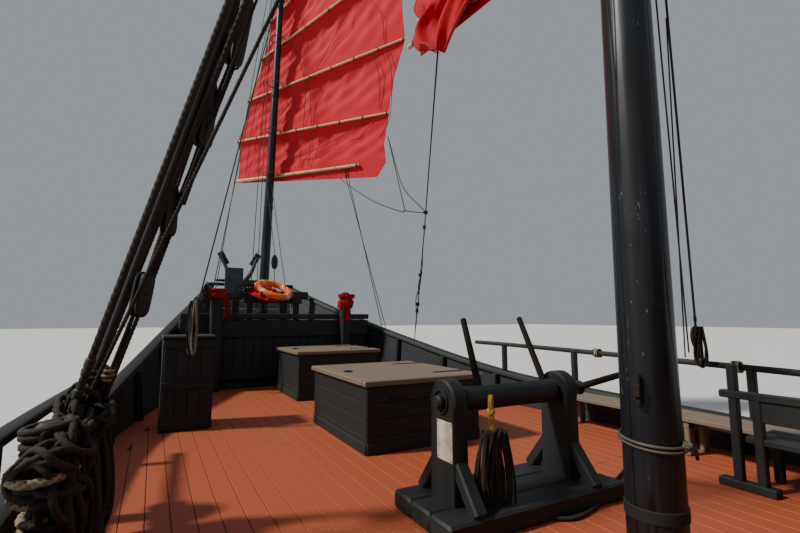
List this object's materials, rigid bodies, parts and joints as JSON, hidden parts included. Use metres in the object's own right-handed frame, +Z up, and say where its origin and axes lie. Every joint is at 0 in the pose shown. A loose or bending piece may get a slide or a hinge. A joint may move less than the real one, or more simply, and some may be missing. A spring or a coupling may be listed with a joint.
{
  "type": "chinese junk ship",
  "caption": "Wooden chinese junk with battened lug sails, hollow stern cabin, decked hull, windlass, hatches, rudder and propeller.",
  "frame": {"origin": "on the waterline, on the centreline, amidships", "axes": "+X to starboard, +Y to the bow, +Z up"},
  "size_m": [5.7598, 21.4864, 15.9001],
  "materials": {
    "topside_paint": "worn near-black blue-grey paint on planks",
    "black_paint": "worn near-black paint on timber",
    "deck_wood": "oiled red-brown deck planks",
    "worn_wood": "weathered brown-grey planks",
    "batten_wood": "pale round poles",
    "sail_red": "matt red sailcloth",
    "rope_dark": "tarred laid rope",
    "ring_orange": "faded orange and yellow",
    "bronze": "dull cast bronze",
    "iron": "painted iron"
  },
  "bodies": {
    "ship": {"hull": "topside_paint", "forecastle": "topside_paint", "main_deck": "deck_wood", "foredeck": "deck_wood", "poop_deck": "deck_wood", "bulwark_port": "topside_paint", "bulwark_starboard": "topside_paint", "cap_rail_port": "black_paint", "cap_rail_starboard": "black_paint", "wale_port": "black_paint", "wale_starboard": "black_paint", "quarter_port": "topside_paint", "quarter_starboard": "topside_paint", "transom": "topside_paint", "cabin_front": "black_paint", "side_rail_port": "black_paint", "side_rail_starboard": "black_paint", "bow_board": "topside_paint", "bow_bitt_port": "black_paint", "bow_bitt_starboard": "black_paint", "anchor_beam": "black_paint", "anchor": "black_paint", "life_ring": "ring_orange", "near_hatch_box": "black_paint", "far_hatch_box": "black_paint", "windlass_frame": "black_paint", "starboard_rack": "black_paint", "starboard_bench": "worn_wood", "shroud_bitts": "black_paint", "port_locker": "black_paint", "fore_pin_rail": "black_paint", "poop_front_rail": "black_paint", "poop_ladder": "worn_wood", "mainmast": "black_paint", "foremast": "black_paint", "mizzenmast": "black_paint", "main_shroud_port_fore": "rope_dark", "main_shroud_port_aft": "rope_dark", "main_shroud_starboard": "rope_dark", "fore_shroud_port": "rope_dark", "rudder_strap_upper": "iron", "rudder_strap_lower": "iron", "shaft_strut": "iron"},
    "mainsail": {"mainsail_cloth": "sail_red", "mainsail_boom": "batten_wood", "mainsail_yard": "batten_wood"},
    "foresail": {"foresail_cloth": "sail_red", "foresail_boom": "batten_wood", "foresail_yard": "batten_wood"},
    "mizzensail": {"mizzensail_cloth": "sail_red", "mizzensail_boom": "batten_wood", "mizzensail_yard": "batten_wood"},
    "steering": {"rudder": "black_paint", "tiller": "worn_wood"},
    "windlass": {"windlass_barrel": "black_paint"},
    "near_lid": {"near_hatch_lid": "worn_wood"},
    "far_lid": {"far_hatch_lid": "worn_wood"},
    "door_port": {"cabin_door_port": "worn_wood"},
    "door_starboard": {"cabin_door_starboard": "worn_wood"},
    "screw": {"propeller": "bronze"}
  },
  "joints": [
    {"name": "mainsail_swing", "type": "hinge", "parent": "ship", "child": "mainsail", "pos_m": [0, -0.3, 1], "axis": [0, 0, 1], "range_deg": [-42, 24]},
    {"name": "foresail_swing", "type": "hinge", "parent": "ship", "child": "foresail", "pos_m": [-0.095, 8.33, 2.1], "axis": [0.0244, 0, 0.9997], "range_deg": [-65, 20]},
    {"name": "mizzensail_swing", "type": "hinge", "parent": "ship", "child": "mizzensail", "pos_m": [-1.45, -8.7, 2.95], "axis": [0, 0, 1], "range_deg": [-50, 30]},
    {"name": "rudder_steer", "type": "hinge", "parent": "ship", "child": "steering", "pos_m": [0, -8.83, 0], "axis": [0, -0.3552, 0.9348], "range_deg": [-35, 35]},
    {"name": "windlass_turn", "type": "hinge", "parent": "ship", "child": "windlass", "pos_m": [0.14, 0.76, 1.72], "axis": [1, 0, 0], "range_deg": [-60, 38]},
    {"name": "near_lid_lift", "type": "hinge", "parent": "ship", "child": "near_lid", "pos_m": [0.95, 2.95, 1.615], "axis": [0, 1, 0], "range_deg": [0, 95]},
    {"name": "far_lid_lift", "type": "hinge", "parent": "ship", "child": "far_lid", "pos_m": [1.2, 5.81, 1.685], "axis": [0, 1, 0], "range_deg": [0, 95]},
    {"name": "door_port_open", "type": "hinge", "parent": "ship", "child": "door_port", "pos_m": [-0.474, -4.214, 1.9], "axis": [0, 0, 1], "range_deg": [0, 90]},
    {"name": "door_starboard_open", "type": "hinge", "parent": "ship", "child": "door_starboard", "pos_m": [0.474, -4.214, 1.9], "axis": [0, 0, 1], "range_deg": [-90, 0]},
    {"name": "propeller_turn", "type": "hinge", "parent": "ship", "child": "screw", "pos_m": [0, -8.05, -0.95], "axis": [0, 1, 0], "continuous": true}
  ]
}
